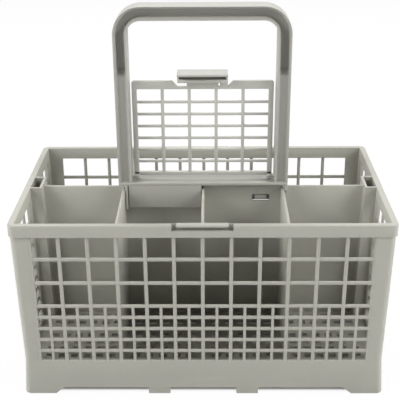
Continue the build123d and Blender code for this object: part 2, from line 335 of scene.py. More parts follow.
    @staticmethod
    def repeat(piece: bpy.types.Object, count: int, step: Point) -> None:
        """Repeats a piece along a line with an Array modifier.

        Args:
            piece: The piece to repeat.
            count: How many there are in all.
            step: From one to the next.
        """
        Bench.apply(
            piece,
            "ARRAY",
            count=count,
            use_relative_offset=False,
            use_constant_offset=True,
            constant_offset_displace=Vector(step) * MM,
        )

    @staticmethod
    def combine(piece: bpy.types.Object, other: bpy.types.Object, operation: str) -> None:
        """Cuts or adds one solid on another, and removes the other.

        Args:
            piece: The solid that stays.
            other: The solid that cuts it or is added.
            operation: DIFFERENCE or UNION.
        """
        Bench.apply(piece, "BOOLEAN", operation=operation, solver="EXACT", object=other)
        bpy.data.objects.remove(other, do_unlink=True)

    @staticmethod
    def join(pieces: Sequence[bpy.types.Object], name: str) -> bpy.types.Object:
        """Joins pieces into one object.

        Args:
            pieces: The pieces, the first of which stays.
            name: Name of the joined object.

        Returns:
            The joined object.
        """
        Bench.take(pieces[0])
        for piece in pieces:
            piece.select_set(True)
        bpy.ops.object.join()
        joined = bpy.context.active_object
        joined.name = name
        return joined

    @staticmethod
    def copy(piece: bpy.types.Object, name: str) -> bpy.types.Object:
        """Copies a piece with a mesh of its own.

        Args:
            piece: The piece to copy.
            name: Name of the copy.

        Returns:
            The copy.
        """
        made = piece.copy()
        made.data = piece.data.copy()
        made.name = name
        bpy.context.scene.collection.objects.link(made)
        return made

    @staticmethod
    def place(piece: bpy.types.Object, turn: Point = (0, 0, 0), offset: Point = (0, 0, 0)) -> bpy.types.Object:
        """Turns and moves a piece, and puts its place into its mesh.

        Args:
            piece: The piece, whose object is at the origin.
            turn: Angles about X, Y and Z in degrees.
            offset: How far it moves after the turn.

        Returns:
            The same piece.
        """
        piece.rotation_euler = [math.radians(angle) for angle in turn]
        piece.location = Vector(offset) * MM
        Bench.settle(piece)
        return piece

    @staticmethod
    def shade(piece: bpy.types.Object, angle: float = CREASE_ANGLE) -> None:
        """Shades a piece smooth, except across edges sharper than an angle."""
        Bench.take(piece)
        bpy.ops.object.shade_smooth_by_angle(angle=math.radians(angle))


class Value:
    """An output of a node, with arithmetic that adds Math nodes."""

    def __init__(self, graph: "Graph", socket: bpy.types.NodeSocket) -> None:
        """Wraps a socket of a graph."""
        self.graph = graph
        self.socket = socket

    def _math(self, operation: str, first: "Value | float", second: "Value | float") -> "Value":
        """Adds a Math node on two values."""
        return self.graph.node("ShaderNodeMath", {"operation": operation}, {0: first, 1: second})

    def __add__(self, other: "Value | float") -> "Value":
        """This value plus another."""
        return self._math("ADD", self, other)

    def __radd__(self, other: float) -> "Value":
        """A number plus this value."""
        return self._math("ADD", other, self)

    def __sub__(self, other: "Value | float") -> "Value":
        """This value minus another."""
        return self._math("SUBTRACT", self, other)

    def __rsub__(self, other: float) -> "Value":
        """A number minus this value."""
        return self._math("SUBTRACT", other, self)

    def __mul__(self, other: "Value | float") -> "Value":
        """This value times another."""
        return self._math("MULTIPLY", self, other)

    def __rmul__(self, other: float) -> "Value":
        """A number times this value."""
        return self._math("MULTIPLY", other, self)

    def __abs__(self) -> "Value":
        """This value without its sign."""
        return self._math("ABSOLUTE", self, 0.0)

    def larger(self, other: "Value | float") -> "Value":
        """The larger of this value and another."""
        return self._math("MAXIMUM", self, other)


class Graph:
    """Nodes of one material or of the world."""

    NOISE_MIDDLE = 0.5
    NOISE_ROUGHNESS = 0.55

    def __init__(self, owner: "bpy.types.Material | bpy.types.World") -> None:
        """Clears the owner's nodes.

        Args:
            owner: What the nodes belong to.
        """
        owner.use_nodes = True
        self.tree = owner.node_tree
        self.tree.nodes.clear()

    def node(
        self,
        kind: str,
        settings: dict[str, object] | None = None,
        sockets: dict[int | str, object] | None = None,
        output: int | str = 0,
    ) -> Value:
        """Adds a node.

        Args:
            kind: The node's type.
            settings: Properties, set before the sockets.
            sockets: Values or links of its inputs.
            output: Which output is returned.

        Returns:
            The wrapped output, or the node's first input where it has no output.
        """
        made = self.tree.nodes.new(kind)
        for key, value in (settings or {}).items():
            setattr(made, key, value)
        for key, value in (sockets or {}).items():
            if isinstance(value, Value):
                self.tree.links.new(value.socket, made.inputs[key])
            else:
                made.inputs[key].default_value = value
        return Value(self, made.outputs[output] if len(made.outputs) else made.inputs[0])

    def noise(self, place: Value, scale: float, detail: float) -> Value:
        """Adds a noise texture and returns its factor."""
        pattern = {"Scale": scale, "Detail": detail, "Roughness": self.NOISE_ROUGHNESS}
        return self.node("ShaderNodeTexNoise", {}, {"Vector": place, **pattern}, "Fac")

    def step(self, measure: Value, low: float, high: float) -> Value:
        """Adds a smooth step from 0 to 1.

        Args:
            measure: A length in metres.
            low: Where the step starts, in millimetres.
            high: Where it ends, in millimetres.

        Returns:
            The step.
        """
        ends = {"From Min": low * MM, "From Max": high * MM}
        return self.node("ShaderNodeMapRange", {"interpolation_type": "SMOOTHSTEP"}, {"Value": measure, **ends})

    def seen(self) -> Value:
        """Adds a value of 1 for rays of the camera, of reflections and through clear pieces, and 0 for others.

        Returns:
            The value.
        """
        kinds = ("Is Camera Ray", "Is Glossy Ray", "Is Transmission Ray")
        direct, mirrored, through = (self.node("ShaderNodeLightPath", output=kind) for kind in kinds)
        return direct + mirrored + through

    def blend(self, factor: Value, first: "Colour | Value", second: "Colour | Value") -> Value:
        """Mixes two colours.

        Args:
            factor: Share of the second colour.
            first: Colour at 0.
            second: Colour at 1.

        Returns:
            The mixed colour.
        """
        pair = [c if isinstance(c, Value) else (*c, 1.0) for c in (first, second)]
        return self.node("ShaderNodeMix", {"data_type": "RGBA"}, {0: factor, 6: pair[0], 7: pair[1]}, 2)


@dataclass(frozen=True)
class MouldedPlastic:
    """Warm grey polypropylene with a fine spark-eroded grain and faint flow marks.

    Each pattern is a noise texture's scale and detail. Where a height is given for the painted shade,
    the colour above it is painted darker, standing in for less light passing through thicker moulding.
    """

    name: str
    pale: Colour = (0.39, 0.386, 0.341)
    deep: Colour = (0.34, 0.336, 0.296)
    roughness: float = 0.5
    roughness_spread: float = 0.16
    specular: float = 0.28
    refraction: float = 1.49
    cloud: Span = (24.0, 3.0)
    mottle: Span = (210.0, 4.0)
    grain: Span = (2600.0, 2.0)
    cloud_share: float = 0.65
    grain_height: float = 0.00006
    grain_strength: float = 0.35
    # Painted shade: above this height the colour is darkened by the factor below, standing in for less light through
    # thicker moulding
    painted_shade_from: float | None = None
    painted_shade_blend: float = 4.0
    painted_shade_factor: float = 0.76

    def tint(self, graph: Graph, place: Value, flow: Value) -> Value:
        """Mixes the colour, with painted shade above the given height for the thicker moulding.

        Args:
            graph: The material's nodes.
            place: Object coordinates.
            flow: Share of the pale colour.

        Returns:
            The colour.
        """
        thin = graph.blend(flow, self.deep, self.pale)
        if self.painted_shade_from is None:
            return thin
        # Shaded copies of both colours: painted shade for the thicker moulding
        deep, pale = (tuple(self.painted_shade_factor * part for part in hue) for hue in (self.deep, self.pale))
        painted_shade_colour = graph.blend(flow, deep, pale)
        height = graph.node("ShaderNodeSeparateXYZ", {}, {0: place}, "Z")
        section = graph.step(height, self.painted_shade_from, self.painted_shade_from + self.painted_shade_blend)
        return graph.blend(section, thin, painted_shade_colour)

    def material(self) -> bpy.types.Material:
        """Builds the node material.

        Returns:
            The material.
        """
        made = bpy.data.materials.new(self.name)
        graph = Graph(made)
        place = graph.node("ShaderNodeTexCoord", output="Object")
        patterns = (self.cloud, self.mottle, self.grain)
        cloud, mottle, grain = (graph.noise(place, *pattern) for pattern in patterns)
        flow = cloud * self.cloud_share + mottle * (1 - self.cloud_share)
        rough = (mottle - Graph.NOISE_MIDDLE) * self.roughness_spread + self.roughness
        bump = graph.node(
            "ShaderNodeBump",
            {},
            {"Strength": self.grain_strength, "Distance": self.grain_height, "Height": grain},
        )
        plastic = graph.node(
            "ShaderNodeBsdfPrincipled",
            {},
            {
                "Base Color": self.tint(graph, place, flow),
                "Roughness": rough,
                "Normal": bump,
                "IOR": self.refraction,
                "Specular IOR Level": self.specular,
            },
        )
        graph.node("ShaderNodeOutputMaterial", {}, {"Surface": plastic})
        return made


@dataclass
class BasketShell:
    """The basket's leaning walls, flared skirt, feet, floor and rim, with open windows for the grids."""

    finish: bpy.types.Material
    rim_half: Span = (120.0, 70.0)
    rim_proud: float = 0.8
    rim_wall: float = 4.2
    rim_round: float = 0.85
    rim_steps: int = 4
    top: float = 123.5
    rim_bottom: float = 115.6
    wall_draft: float = 1.26
    skirt_height: float = 24.5
    skirt_flare: float = 3.3
    skirt_wall: float = 2.4
    corner_radius: float = 4.4
    corner_steps: int = 8
    floor_top: float = 22.5
    floor_bottom: float = 20.5
    window_half: float = 105.95
    window_low: float = 24.8
    window_high: float = 115.3
    end_window: Span = (12.3, 59.2)
    foot_height: float = 4.3
    corner_foot: float = 21.0
    foot_slope: float = 5.0
    middle_foot: float = 14.3
    middle_foot_place: float = 29.0
    catch_half: float = 19.0
    catch_depth: float = 3.2
    catch_floor: float = 119.9
    edge_round: float = 0.35
    window_round: float = 0.9
    edge_steps: int = 2
    pocket: Span = (109.8, 115.8)
    pocket_half: float = 8.5
    pocket_wall: float = 1.5
    pocket_sunk: float = 0.8
    pocket_below_rim: float = 0.05
    hole: float = 4.8
    hole_pitch: float = 8.4
    hole_rows: int = 7
    first_row: float = 4.6
    end_bay: Span = (58.55, 104.8)
    front_bay: Span = (5.85, 47.7)
    back_bay_half: float = 47.7
    cut_over: float = 1.0
    cut_reach: float = 10.0

    def __post_init__(self) -> None:
        """Works out the slopes of wall and skirt, and the height of the windows' middle."""
        self.lean = math.tan(math.radians(self.wall_draft))
        self.flare = math.tan(math.radians(self.skirt_flare))
        self.window_middle = (self.window_low + self.window_high) / 2

    def half(self, height: float) -> Span:
        """Works out the half sizes of the outer wall.

        Args:
            height: A height above or below the skirt's top.

        Returns:
            The half sizes in X and Y.
        """
        if height >= self.skirt_height:
            inward = self.rim_proud + self.lean * (self.rim_bottom - height)
        else:
            waist = self.lean * (self.rim_bottom - self.skirt_height)
            inward = self.rim_proud + waist - self.flare * (self.skirt_height - height)
        return smaller(self.rim_half, inward)

    def walls(self) -> bpy.types.Object:
        """Extrudes the closed form of skirt, walls, rim, cavity and hollow underside.

        Returns:
            The solid before its openings.
        """
        foot, waist, shoulder = (self.half(height) for height in (0, self.skirt_height, self.rim_bottom))
        piece = Bench.block("basket_shell", both(foot[0]), both(foot[1]), (0, self.skirt_height))
        with Bench.editing(piece):
            Bench.pick_edges(piece, lambda middle, along: abs(along.z) > ALONG)
            Bench.round_edges(self.corner_radius, self.corner_steps)
            Bench.pick_faces(piece, lambda middle, normal: normal.z > ALONG)
            Bench.spread(foot, waist)
            Bench.extrude((0, 0, self.rim_bottom - self.skirt_height))
            Bench.spread(waist, shoulder)
            Bench.extrude((0, 0, 0))
            Bench.spread(shoulder, self.rim_half)
            Bench.extrude((0, 0, self.top - self.rim_bottom))
            brim = self.top - TOUCH
            Bench.pick_edges(piece, lambda middle, along: middle.z > brim and abs(along.z) < ACROSS)
            Bench.round_edges(self.rim_round, self.rim_steps)
            Bench.pick_faces(piece, lambda middle, normal: normal.z > SQUARE and middle.z > brim)
            Bench.inset(self.rim_wall - self.rim_round)
            mouth = smaller(self.rim_half, self.rim_wall)
            drop = self.top - self.floor_top
            Bench.extrude((0, 0, -drop))
            Bench.spread(mouth, smaller(mouth, self.lean * drop))
            Bench.pick_faces(piece, lambda middle, normal: normal.z < -SQUARE and middle.z < TOUCH)
            Bench.inset(self.skirt_wall)
            under = smaller(foot, self.skirt_wall)
            Bench.extrude((0, 0, self.floor_bottom))
            Bench.spread(under, smaller(under, self.flare * self.floor_bottom))
        return piece

    def windows(self, piece: bpy.types.Object) -> None:
        """Opens the window of each long wall and the two of each end wall.

        Args:
            piece: The closed shell.
        """
        near, far = self.end_window
        cuts = (
            (Vector((0, 0, 1)), (self.window_low, self.window_high)),
            (Vector((1, 0, 0)), both(self.window_half)),
            (Vector((0, 1, 0)), (-far, -near, near, far)),
        )
        with Bench.editing(piece):
            for normal, places in cuts:
                for place in places:
                    bpy.ops.mesh.select_all(action="SELECT")
                    bpy.ops.mesh.bisect(plane_co=normal * place * MM, plane_no=normal)
            for side in (-1, 1):
                Bench.pick_faces(
                    piece,
                    lambda middle, normal: abs(normal.y) > SQUARE
                    and middle.y * side > far
                    and self.window_low < middle.z < self.window_high
                    and abs(middle.x) < self.window_half,
                )
                bpy.ops.mesh.bridge_edge_loops()
                for way in (-1, 1):
                    Bench.pick_faces(
                        piece,
                        lambda middle, normal: abs(normal.x) > SQUARE
                        and middle.x * side > self.window_half
                        and self.window_low < middle.z < self.window_high
                        and near < middle.y * way < far,
                    )
                    bpy.ops.mesh.bridge_edge_loops()

    def pockets(self, piece: bpy.types.Object) -> None:
        """Adds the two end pockets, flush with the rim, and hollows them.

        Args:
            piece: The shell with its windows and feet.
        """
        inner, outer = self.pocket
        fall = self.lean * (self.top - self.floor_bottom)
        for side in (-1, 1):
            boss = Bench.block(
                "pocket",
                span(side, inner - self.pocket_wall, outer + self.pocket_sunk),
                both(self.pocket_half + self.pocket_wall),
                (self.floor_bottom, self.top - self.pocket_below_rim),
            )
            with Bench.editing(boss):
                Bench.pick_faces(boss, lambda middle, normal: normal.z < -ALONG)
                Bench.move((-side * fall, 0, 0))
            Bench.combine(piece, boss, "UNION")
            depth = (self.floor_top, self.top + self.cut_over)
            well = Bench.block("pocket_well", span(side, inner, outer), both(self.pocket_half), depth)
            Bench.combine(piece, well, "DIFFERENCE")

    def sloped_gap(self, ground: Span, slopes: Span, reach: float) -> bpy.types.Object:
        """Makes the cutter of one gap between two feet of a long side.

        Args:
            ground: X where the gap starts and ends at the ground.
            slopes: How far each end leans in on the way up.
            reach: How far the cutter reaches in Y.

        Returns:
            The cutter.
        """
        low, high = ground
        middle = (low + high) / 2
        share = self.cut_over / self.foot_height
        width = (low - slopes[0] * share, high + slopes[1] * share)
        gap = Bench.block("foot_gap", width, both(reach), (-self.cut_over, self.foot_height))
        with Bench.editing(gap):
            for side, slope in zip((-1, 1), slopes):
                Bench.pick_corners(gap, lambda spot: spot.z > 0 and (spot.x - middle) * side > 0)
                Bench.move((-side * slope * (1 + share), 0, 0))
        return gap

    def feet(self, piece: bpy.types.Object) -> None:
        """Cuts the gaps between the feet of the long sides and of the ends.

        Args:
            piece: The shell.
        """
        long_gap, end_gap = (both(half - self.corner_foot) for half in self.half(0))
        near, far = around(self.middle_foot_place, self.middle_foot)
        slope = self.foot_slope
        reach = self.rim_half[1] + self.cut_reach
        gaps = [
            self.sloped_gap((long_gap[0], -far), (slope, 0), reach),
            self.sloped_gap(both(near), (0, 0), reach),
            self.sloped_gap((far, long_gap[1]), (0, slope), reach),
        ]
        Bench.combine(piece, Bench.join(gaps, "long_side_gaps"), "DIFFERENCE")
        cutter = self.sloped_gap(end_gap, (slope, slope), self.rim_half[0] + self.cut_reach)
        Bench.combine(piece, Bench.place(cutter, turn=(0, 0, Side.RIGHT.value)), "DIFFERENCE")

    def floor_holes(self, piece: bpy.types.Object) -> None:
        """Cuts the mesh of drain holes in the floor of each compartment.

        Args:
            piece: The shell.
        """
        bays = []
        ends = (span(-1, *self.end_bay), self.end_bay)
        middles = {-1: (span(-1, *self.front_bay), self.front_bay), 1: (both(self.back_bay_half),)}
        depth = (self.floor_bottom - self.cut_over, self.floor_top + self.cut_over)
        bridge = self.hole_pitch - self.hole
        for side, middle in middles.items():
            row = span(side, self.first_row, self.first_row + self.hole)
            for start, end in (*ends, *middle):
                count = round((end - start + bridge) / self.hole_pitch)
                pitch = (end - start + bridge) / count
                hole = Bench.block("hole", (start, start + pitch - bridge), row, depth)
                Bench.repeat(hole, count, (pitch, 0, 0))
                Bench.repeat(hole, self.hole_rows, (0, side * self.hole_pitch, 0))
                bays.append(hole)
        Bench.combine(piece, Bench.join(bays, "floor_holes"), "DIFFERENCE")

    def soften_edges(self, piece: bpy.types.Object) -> None:
        """Rounds the windows' upright edges and the other sharp edges, but leaves the step under the rim crisp.

        Args:
            piece: The shell with its windows and feet.
        """
        with Bench.editing(piece):
            Bench.pick_edges(
                piece,
                lambda middle, along: abs(along.z) > ALONG
                and abs(abs(middle.x) - self.window_half) < NEAR
                and abs(middle.y) > self.rim_half[1] - self.rim_wall + self.rim_proud
                and self.window_low < middle.z < self.window_high,
            )
            Bench.round_edges(self.window_round, self.edge_steps)
            Bench.pick_sharp_edges(piece, lambda middle: abs(middle.z - self.rim_bottom) < NEAR)
            Bench.round_edges(self.edge_round, self.edge_steps)

    def catch(self, side: int) -> bpy.types.Object:
        """Makes the cutter of the catch in one long side of the rim."""
        depth = span(side, self.rim_half[1] + self.cut_over, self.rim_half[1] - self.catch_depth)
        return Bench.block("catch", both(self.catch_half), depth, (self.catch_floor, self.top + self.cut_over))

    def build(self) -> bpy.types.Object:
        """Makes the shell and dresses it.

        Returns:
            The finished piece.
        """
        piece = self.walls()
        self.windows(piece)
        self.feet(piece)
        self.soften_edges(piece)
        self.pockets(piece)
        self.floor_holes(piece)
        Bench.combine(piece, Bench.join([self.catch(-1), self.catch(1)], "catches"), "DIFFERENCE")
        Bench.shade(piece)
        return dress(piece, self.finish, Body.BASKET, ("basket",))


@dataclass
class WallGrids:
    """Rounded bars of the four walls: uprights in front, level bars behind, halved rows below.

    The depths of a bar are how far its front and its back lie behind the wall's face.
    """

    finish: bpy.types.Material
    shell: BasketShell
    columns: int = 12
    column_pitch: float = 17.85
    end_columns: int = 3
    end_pitch: float = 16.4
    bar_heights: tuple[float, ...] = (99.53, 82.68, 65.84, 57.42, 48.99, 40.57, 32.15)
    halved_below: float = 65.84
    upright: float = 2.3
    upright_depths: Span = (0.05, 2.0)
    half_upright: float = 1.85
    half_depths: Span = (0.15, 1.8)
    level_bar: float = 2.45
    level_depths: Span = (0.25, 1.8)
    bar_round: float = 0.7
    bar_steps: int = 3
    sunk: float = 0.6

    def bar(self, x: Span, depths: Span, z: Span, along: Axis) -> bpy.types.Object:
        """Makes one rounded bar in the plane of a wall.

        Args:
            x: Where it starts and ends in X.
            depths: How far its front and back lie behind the wall's face.
            z: Where it starts and ends in Z.
            along: The axis it lies along.

        Returns:
            The bar.
        """
        piece = Bench.block("bar", x, depths, z)
        with Bench.editing(piece):
            Bench.pick_edges(piece, lambda middle, way: abs(way[along.value]) > ALONG)
            Bench.round_edges(self.bar_round, self.bar_steps)
        return piece

    def panel(self, start: float, count: int, pitch: float) -> bpy.types.Object:
        """Makes the bars of one window, flat, with the wall's outer face at Y 0.

        Args:
            start: X of the window's first edge.
            count: Number of columns.
            pitch: Distance between uprights.

        Returns:
            The joined bars.
        """
        middle = self.shell.window_middle
        low = self.shell.window_low - middle - self.sunk
        high = self.shell.window_high - middle + self.sunk
        edge = start - self.upright / 2
        upright = self.bar(around(edge + pitch, self.upright), self.upright_depths, (low, high), Axis.Z)
        Bench.repeat(upright, count - 1, (pitch, 0, 0))
        halved = (low, self.halved_below - middle)
        half = self.bar(around(edge + pitch / 2, self.half_upright), self.half_depths, halved, Axis.Z)
        Bench.repeat(half, count, (pitch, 0, 0))
        width = (start - self.sunk, start + (count * pitch - self.upright) + self.sunk)
        levels = [
            self.bar(width, self.level_depths, around(height - middle, self.level_bar), Axis.X)
            for height in self.bar_heights
        ]
        return Bench.join([upright, half, *levels], "grid_panel")

    def stand(self, panel: bpy.types.Object, side: Side) -> bpy.types.Object:
        """Leans a flat panel with its wall and brings it to its side.

        Args:
            panel: The flat panel.
            side: The wall it belongs to.

        Returns:
            The placed panel.
        """
        middle = self.shell.window_middle
        reach = self.shell.half(middle)[0 if side in (Side.LEFT, Side.RIGHT) else 1]
        Bench.place(panel, turn=(self.shell.wall_draft, 0, 0), offset=(0, -reach, middle))
        return Bench.place(panel, turn=(0, 0, side.value))

    def build(self) -> list[bpy.types.Object]:
        """Makes the grids of the four walls and dresses them.

        Returns:
            One piece for each wall.
        """
        front = self.panel(-self.shell.window_half, self.columns, self.column_pitch)
        near, far = self.shell.end_window
        ends = [self.panel(start, self.end_columns, self.end_pitch) for start in (-far, near)]
        end = Bench.join(ends, "end_panel")
        made = []
        for side, source in (
            (Side.BACK, Bench.copy(front, "grid_back")),
            (Side.LEFT, Bench.copy(end, "grid_left")),
            (Side.FRONT, front),
            (Side.RIGHT, end),
        ):
            piece = self.stand(source, side)
            piece.name = f"grid_{side.name.lower()}"
            Bench.shade(piece, BAR_CREASE_ANGLE)
            made.append(dress(piece, self.finish, Body.BASKET))
        return made


@dataclass
class InnerWalls:
    """Centre wall, dividers and the lips of the catches, the front one first in lip_halves."""

    finish: bpy.types.Material
    shell: BasketShell
    top: float = 121.0
    centre_half: float = 109.8
    centre_thickness: float = 1.8
    divider_thickness: float = 1.7
    divider_place: float = 53.55
    divider_start: float = 0.4
    divider_reach: float = 68.45
    short_reach: float = 66.4
    floor_gap: float = 0.3
    window_place: float = 39.1
    window_length: float = 11.7
    window_span: Span = (109.9, 114.8)
    window_reach: float = 5.0
    edge_round: float = 0.6
    lip_halves: Span = (16.0, 18.7)
    lip_span: Span = (65.6, 69.7)
    lip_heights: Span = (122.25, 123.75)
    lip_round: float = 0.35
    round_steps: int = 3

    def __post_init__(self) -> None:
        """Works out the walls' span in Z, which starts inside the floor."""
        self.heights = (self.shell.floor_bottom + self.floor_gap, self.top)

    def divider(self, place: float, side: int, reach: float) -> bpy.types.Object:
        """Makes one divider whose outer end leans with the wall.

        Args:
            place: Its X.
            side: -1 in the front half, 1 in the back half.
            reach: Y of its outer end at the top.

        Returns:
            The divider.
        """
        width = around(place, self.divider_thickness)
        plate = Bench.block("divider", width, span(side, self.divider_start, reach), self.heights)
        fall = self.shell.lean * (self.top - self.shell.floor_bottom)
        brow = self.top - CLOSE
        with Bench.editing(plate):
            Bench.pick_corners(plate, lambda spot: spot.z < brow and spot.y * side > reach / 2)
            Bench.move((0, -side * fall, 0))
            Bench.pick_edges(plate, lambda middle, along: middle.z > brow and abs(along.y) > ALONG)
            Bench.round_edges(self.edge_round, self.round_steps)
        return plate

    def centre(self) -> bpy.types.Object:
        """Makes the centre wall with the two windows for the handle's hooks.

        Returns:
            The wall.
        """
        thickness = both(self.centre_thickness / 2)
        wall = Bench.block("inner_walls", both(self.centre_half), thickness, self.heights)
        brow = self.top - CLOSE
        with Bench.editing(wall):
            Bench.pick_edges(wall, lambda middle, along: middle.z > brow and abs(along.x) > ALONG)
            Bench.round_edges(self.edge_round, self.round_steps)
        openings = [
            Bench.block("hook_window", around(place, self.window_length), both(self.window_reach), self.window_span)
            for place in both(self.window_place)
        ]
        Bench.combine(wall, Bench.join(openings, "hook_windows"), "DIFFERENCE")
        return wall

    def lip(self, side: int) -> bpy.types.Object:
        """Makes the lip across one catch, rounded along its edges.

        Args:
            side: -1 in front, 1 at the back.

        Returns:
            The lip.
        """
        half = self.lip_halves[side > 0]
        lip = Bench.block("lip", both(half), span(side, *self.lip_span), self.lip_heights)
        Bench.soften(lip, self.lip_round, self.round_steps)
        return lip

    def build(self) -> list[bpy.types.Object]:
        """Makes the inner walls and the lips, and dresses them.

        Returns:
            The finished pieces.
        """
        plates = [self.centre()]
        for place in both(self.divider_place):
            plates += [self.divider(place, side, self.divider_reach) for side in (-1, 1)]
        plates.append(self.divider(0, -1, self.short_reach))
        walls = Bench.join(plates, "inner_walls")
        lips = Bench.join([self.lip(-1), self.lip(1)], "catch_lips")
        for piece in (walls, lips):
            Bench.shade(piece, BAR_CREASE_ANGLE)
            dress(piece, self.finish, Body.BASKET)
        return [walls, lips]


@dataclass
class Handle:
    """Arched handle of I section on a base plate, with snap aprons under it."""

    finish: bpy.types.Material
    half: float = 56.6
    foot: float = 124.5
    top: float = 243.8
    bar: float = 8.8
    corner_radius: float = 18.0
    corner_steps: int = 14
    depth_half: float = 7.8
    flange: float = 1.8
    recess: float = 2.6
    web_half: float = 1.0
    channel_foot: float = 198.5
    channel_ramp: float = 5.0
    plate: Span = (123.8, 126.0)
    keel_half: float = 1.5
    keel_length: float = 51.8
    keel_foot: float = 121.0
    apron: Span = (1.1, 50.2)
    apron_foot: float = 107.8
    apron_thickness: float = 1.8
    hook: Span = (34.9, 43.3)
    hook_past_middle: float = 0.85
    hook_heights: Span = (111.1, 114.2)
    tab_drop: float = 5.8
    tab_slope: float = 2.0
    tab_width: float = 5.0
    rib: Span = (50.7, 52.5)
    rib_proud: float = 0.8
    rib_drop: float = 1.3
    sunk: float = 0.5
    edge_round: float = 0.6
    edge_steps: int = 3

    def arch(self) -> bpy.types.Object:
        """Makes the arch from an outline that is inset, thickened and hollowed on both sides.

        Returns:
            The arch.
        """
        bpy.ops.object.select_all(action="DESELECT")
        middle = (self.foot + self.top) / 2
        bpy.ops.mesh.primitive_plane_add(size=1, location=(0, 0, middle * MM), rotation=(math.pi / 2, 0, 0))
        piece = bpy.context.active_object
        piece.name = "handle_arch"
        piece.scale = (2 * self.half * MM, (self.top - self.foot) * MM, 1)
        Bench.settle(piece)
        with Bench.editing(piece):
            Bench.pick_corners(piece, lambda spot: spot.z > middle)
            bpy.ops.mesh.bevel(
                offset=self.corner_radius * MM, segments=self.corner_steps, affect="VERTICES", clamp_overlap=False
            )
            Bench.pick_faces(piece, lambda centre, normal: True)
            Bench.inset(self.bar)
            bpy.ops.mesh.delete(type="FACE")
            inside = self.half - self.bar / 2
            Bench.pick_corners(piece, lambda spot: spot.z < middle and abs(spot.x) < inside)
            Bench.move((0, 0, -self.bar))
            Bench.pick_faces(
                piece,
                lambda centre, normal: abs(centre.z - self.foot) < self.bar / 2 and abs(centre.x) < CLOSE,
            )
            bpy.ops.mesh.delete(type="FACE")
            Bench.pick_faces(piece, lambda centre, normal: True)
            Bench.extrude((0, 2 * self.depth_half, 0))
            bpy.ops.mesh.select_all(action="SELECT")
            Bench.move((0, -self.depth_half, 0))
            bpy.ops.mesh.bisect(plane_co=(0, 0, self.channel_foot * MM), plane_no=(0, 0, 1))
            bpy.ops.mesh.select_all(action="SELECT")
            bpy.ops.mesh.normals_make_consistent(inside=False)
            for side in (-1, 1):
                self.hollow(piece, side)
        return piece

    def hollow(self, piece: bpy.types.Object, side: int) -> None:
        """Sinks the recess of the legs and the deeper channel of the arch, with a ramp between them.

        Args:
            piece: The thickened arch in edit mode.
            side: -1 in front, 1 at the back.
        """
        face = self.depth_half - self.recess
        Bench.pick_faces(piece, lambda centre, normal: normal.y * side > ALONG)
        Bench.inset(self.flange)
        Bench.move((0, -side * self.recess, 0))
        Bench.pick_faces(
            piece,
            lambda centre, normal: normal.y * side > ALONG
            and abs(centre.y * side - face) < TOUCH
            and centre.z > self.channel_foot,
        )
        Bench.extrude((0, -side * (face - self.web_half), 0))
        Bench.pick_corners(
            piece,
            lambda spot: abs(spot.y * side - self.web_half) < TOUCH and abs(spot.z - self.channel_foot) < TOUCH,
        )
        Bench.move((0, 0, self.channel_ramp))

    def snap(self, side: int) -> list[bpy.types.Object]:
        """Makes the apron, rib and hook under one side of the plate.

        Args:
            side: -1 in front, 1 at the back.

        Returns:
            The three pieces.
        """
        depth = self.depth_half
        inner = depth - self.apron_thickness
        foot, root = self.apron_foot, self.plate[0] + self.sunk
        rib_depth = span(side, depth + self.rib_proud, inner)
        hook_depth = span(side, depth - self.sunk, -self.hook_past_middle)
        return [
            Bench.block("apron", span(side, *self.apron), span(side, depth, inner), (foot, root)),
            Bench.block("apron_rib", span(side, *self.rib), rib_depth, (foot - self.rib_drop, root)),
            Bench.block("hook", span(side, *self.hook), hook_depth, self.hook_heights),
        ]

    def tab(self, side: int) -> bpy.types.Object:
        """Makes one locating tab, with a slope on two of its sides.

        Args:
            side: -1 in front, 1 at the back.

        Returns:
            The tab.
        """
        low, depth = self.plate[0], self.depth_half
        inner, outer = depth - self.tab_width / 2, depth - TOUCH
        tab = Bench.block(
            "tab",
            span(-side, self.half, self.half - self.flange),
            span(side, depth, depth - self.tab_width),
            (low - self.tab_drop, low + self.sunk),
        )
        with Bench.editing(tab):
            Bench.pick_corners(tab, lambda spot: spot.z < low - CLOSE and spot.y * side < inner)
            Bench.move((0, side * (self.tab_width - self.tab_slope), 0))
            Bench.pick_corners(tab, lambda spot: spot.z < low - CLOSE and spot.y * side > outer)
            Bench.move((0, 0, self.tab_slope))
        return tab

    def base(self) -> list[bpy.types.Object]:
        """Makes the base plate, keel, aprons, hooks and tabs.

        Returns:
            The pieces.
        """
        keel_heights = (self.keel_foot, self.plate[0] + self.sunk)
        made = [
            Bench.block("plate", both(self.half), both(self.depth_half), self.plate),
            Bench.block("keel", both(self.keel_length), both(self.keel_half), keel_heights),
        ]
        for side in (-1, 1):
            made += [*self.snap(side), self.tab(side)]
        return made

    def build(self) -> bpy.types.Object:
        """Makes the handle and dresses it.

        Returns:
            The finished piece.
        """
        pieces = [self.arch(), *self.base()]
        for piece in pieces:
            Bench.soften(piece, self.edge_round, self.edge_steps)
        handle = Bench.join(pieces, "handle_moulding")
        Bench.shade(handle)
        return dress(handle, self.finish, Body.BASKET, ("handle",))


